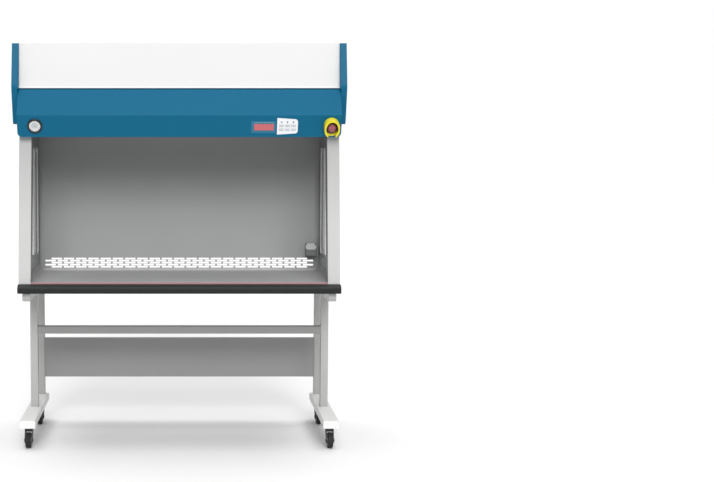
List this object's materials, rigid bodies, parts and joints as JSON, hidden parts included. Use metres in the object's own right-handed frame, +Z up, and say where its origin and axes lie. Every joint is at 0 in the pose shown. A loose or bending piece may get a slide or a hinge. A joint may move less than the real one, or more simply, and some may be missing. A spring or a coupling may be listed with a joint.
{
  "type": "laminar flow hood",
  "caption": "Vertical-flow clean bench on a wheeled stand: open-fronted work chamber with glazed sides, folded control console, filter and fan housing above.",
  "frame": {"origin": "on the floor, under the middle of the hood's overall box", "axes": "+X to the operator's right, +Y from the operator to the back, +Z up"},
  "size_m": [1.694, 0.732, 2.065],
  "materials": {
    "stand": "satin",
    "fastener": "satin",
    "caster_metal": "satin",
    "caster_hub": "matte",
    "tyre": "matte",
    "worktop": "satin",
    "armrest": "matte",
    "chamber_sheet": "satin",
    "side_frame": "satin",
    "pane": "clear",
    "gasket": "matte",
    "socket": "satin",
    "white_panel": "satin",
    "blue_panel": "satin",
    "gauge_body": "satin",
    "gauge_face": "matte",
    "needle": "matte",
    "lens": "clear",
    "display": "gloss",
    "keypad": "satin",
    "key": "satin",
    "stop_yellow": "satin",
    "stop_black": "matte",
    "stop_red": "gloss",
    "air_sheet": "satin",
    "filter_media": "matte",
    "filter_frame": "satin",
    "prefilter": "matte",
    "motor": "satin",
    "lamp_glass": "gloss",
    "inlet": "matte"
  },
  "bodies": {
    "frame": {"feet": "stand", "legs": "stand", "top_rails": "stand", "cross_rail": "stand", "modesty_panel": "stand", "frame_bolts": "fastener", "caster_stems": "caster_metal", "worktop": "worktop", "armrest": "armrest", "back_wall": "chamber_sheet", "window_panes": "pane", "window_gaskets": "gasket", "socket_box": "socket", "housing_shell": "white_panel", "front_panel": "white_panel", "console_cover": "blue_panel", "gauge_case": "gauge_body", "gauge_dial": "gauge_face", "gauge_lens": "lens", "display_window": "display", "keypad_plate": "keypad", "estop_collar": "stop_yellow", "estop_base": "stop_black", "diffuser": "air_sheet", "filter_frame": "filter_frame", "filter_media": "filter_media", "fan_deck": "air_sheet", "fan_motors": "motor", "prefilter": "prefilter", "lamp_fixture": "air_sheet", "lamp_tube": "lamp_glass", "mains_inlet": "inlet", "left_side_frame": "side_frame", "right_side_frame": "side_frame", "left_wing": "blue_panel", "right_wing": "blue_panel"},
    "front_left_swivel": {"front_left_fork": "caster_metal"},
    "front_left_wheel": {"front_left_hub": "caster_hub", "front_left_tyre": "tyre"},
    "front_right_swivel": {"front_right_fork": "caster_metal"},
    "front_right_wheel": {"front_right_hub": "caster_hub", "front_right_tyre": "tyre"},
    "rear_left_swivel": {"rear_left_fork": "caster_metal"},
    "rear_left_wheel": {"rear_left_hub": "caster_hub", "rear_left_tyre": "tyre"},
    "rear_right_swivel": {"rear_right_fork": "caster_metal"},
    "rear_right_wheel": {"rear_right_hub": "caster_hub", "rear_right_tyre": "tyre"},
    "key_1_1": {"key_1_1": "key"},
    "key_1_2": {"key_1_2": "key"},
    "key_1_3": {"key_1_3": "key"},
    "key_2_1": {"key_2_1": "key"},
    "key_2_2": {"key_2_2": "key"},
    "key_2_3": {"key_2_3": "key"},
    "estop_plunger": {"estop_plunger": "stop_black"},
    "estop_head": {"estop_head": "stop_red"},
    "socket_lid": {"socket_lid": "socket"},
    "gauge_needle": {"gauge_needle": "needle"},
    "left_impeller": {"left_impeller": "air_sheet"},
    "right_impeller": {"right_impeller": "air_sheet"}
  },
  "joints": [
    {"name": "front_left_swivel", "type": "hinge", "parent": "frame", "child": "front_left_swivel", "pos_m": [-0.774, -0.259, 0.09], "axis": [0, 0, 1], "continuous": true},
    {"name": "front_left_roll", "type": "hinge", "parent": "front_left_swivel", "child": "front_left_wheel", "pos_m": [-0.774, -0.292, 0.04], "axis": [1, 0, 0], "continuous": true},
    {"name": "front_right_swivel", "type": "hinge", "parent": "frame", "child": "front_right_swivel", "pos_m": [0.774, -0.259, 0.09], "axis": [0, 0, 1], "continuous": true},
    {"name": "front_right_roll", "type": "hinge", "parent": "front_right_swivel", "child": "front_right_wheel", "pos_m": [0.774, -0.292, 0.04], "axis": [1, 0, 0], "continuous": true},
    {"name": "rear_left_swivel", "type": "hinge", "parent": "frame", "child": "rear_left_swivel", "pos_m": [-0.774, 0.257, 0.09], "axis": [0, 0, 1], "continuous": true},
    {"name": "rear_left_roll", "type": "hinge", "parent": "rear_left_swivel", "child": "rear_left_wheel", "pos_m": [-0.774, 0.224, 0.04], "axis": [1, 0, 0], "continuous": true},
    {"name": "rear_right_swivel", "type": "hinge", "parent": "frame", "child": "rear_right_swivel", "pos_m": [0.774, 0.257, 0.09], "axis": [0, 0, 1], "continuous": true},
    {"name": "rear_right_roll", "type": "hinge", "parent": "rear_right_swivel", "child": "rear_right_wheel", "pos_m": [0.774, 0.224, 0.04], "axis": [1, 0, 0], "continuous": true},
    {"name": "key_1_1_press", "type": "slide", "parent": "frame", "child": "key_1_1", "axis": [0, 0.9388, 0.3445], "range_m": [0, 0.001], "stiffness_N_per_m": 300},
    {"name": "key_1_2_press", "type": "slide", "parent": "frame", "child": "key_1_2", "axis": [0, 0.9388, 0.3445], "range_m": [0, 0.001], "stiffness_N_per_m": 300},
    {"name": "key_1_3_press", "type": "slide", "parent": "frame", "child": "key_1_3", "axis": [0, 0.9388, 0.3445], "range_m": [0, 0.001], "stiffness_N_per_m": 300},
    {"name": "key_2_1_press", "type": "slide", "parent": "frame", "child": "key_2_1", "axis": [0, 0.9388, 0.3445], "range_m": [0, 0.001], "stiffness_N_per_m": 300},
    {"name": "key_2_2_press", "type": "slide", "parent": "frame", "child": "key_2_2", "axis": [0, 0.9388, 0.3445], "range_m": [0, 0.001], "stiffness_N_per_m": 300},
    {"name": "key_2_3_press", "type": "slide", "parent": "frame", "child": "key_2_3", "axis": [0, 0.9388, 0.3445], "range_m": [0, 0.001], "stiffness_N_per_m": 300},
    {"name": "estop_press", "type": "slide", "parent": "frame", "child": "estop_plunger", "axis": [0, 0.9388, 0.3445], "range_m": [0, 0.005], "stiffness_N_per_m": 900},
    {"name": "estop_twist", "type": "hinge", "parent": "estop_plunger", "child": "estop_head", "pos_m": [0.765, -0.29045, 1.645], "axis": [0, 0.9388, 0.3445], "range_deg": [0, 30], "stiffness_Nm_per_rad": 0.1},
    {"name": "socket_lid_hinge", "type": "hinge", "parent": "frame", "child": "socket_lid", "pos_m": [0.732, 0.32325, 0.99463], "axis": [-1, 0, 0], "range_deg": [0, 110], "stiffness_Nm_per_rad": 0.02},
    {"name": "gauge_needle_turn", "type": "hinge", "parent": "frame", "child": "gauge_needle", "pos_m": [-0.727, -0.29155, 1.648], "axis": [0, 0.9388, 0.3445], "range_deg": [-10, 80], "stiffness_Nm_per_rad": 0.0002},
    {"name": "left_impeller_spin", "type": "hinge", "parent": "frame", "child": "left_impeller", "pos_m": [-0.4, 0.079, 1.75], "axis": [0, 0, 1], "continuous": true},
    {"name": "right_impeller_spin", "type": "hinge", "parent": "frame", "child": "right_impeller", "pos_m": [0.4, 0.079, 1.75], "axis": [0, 0, 1], "continuous": true}
  ]
}
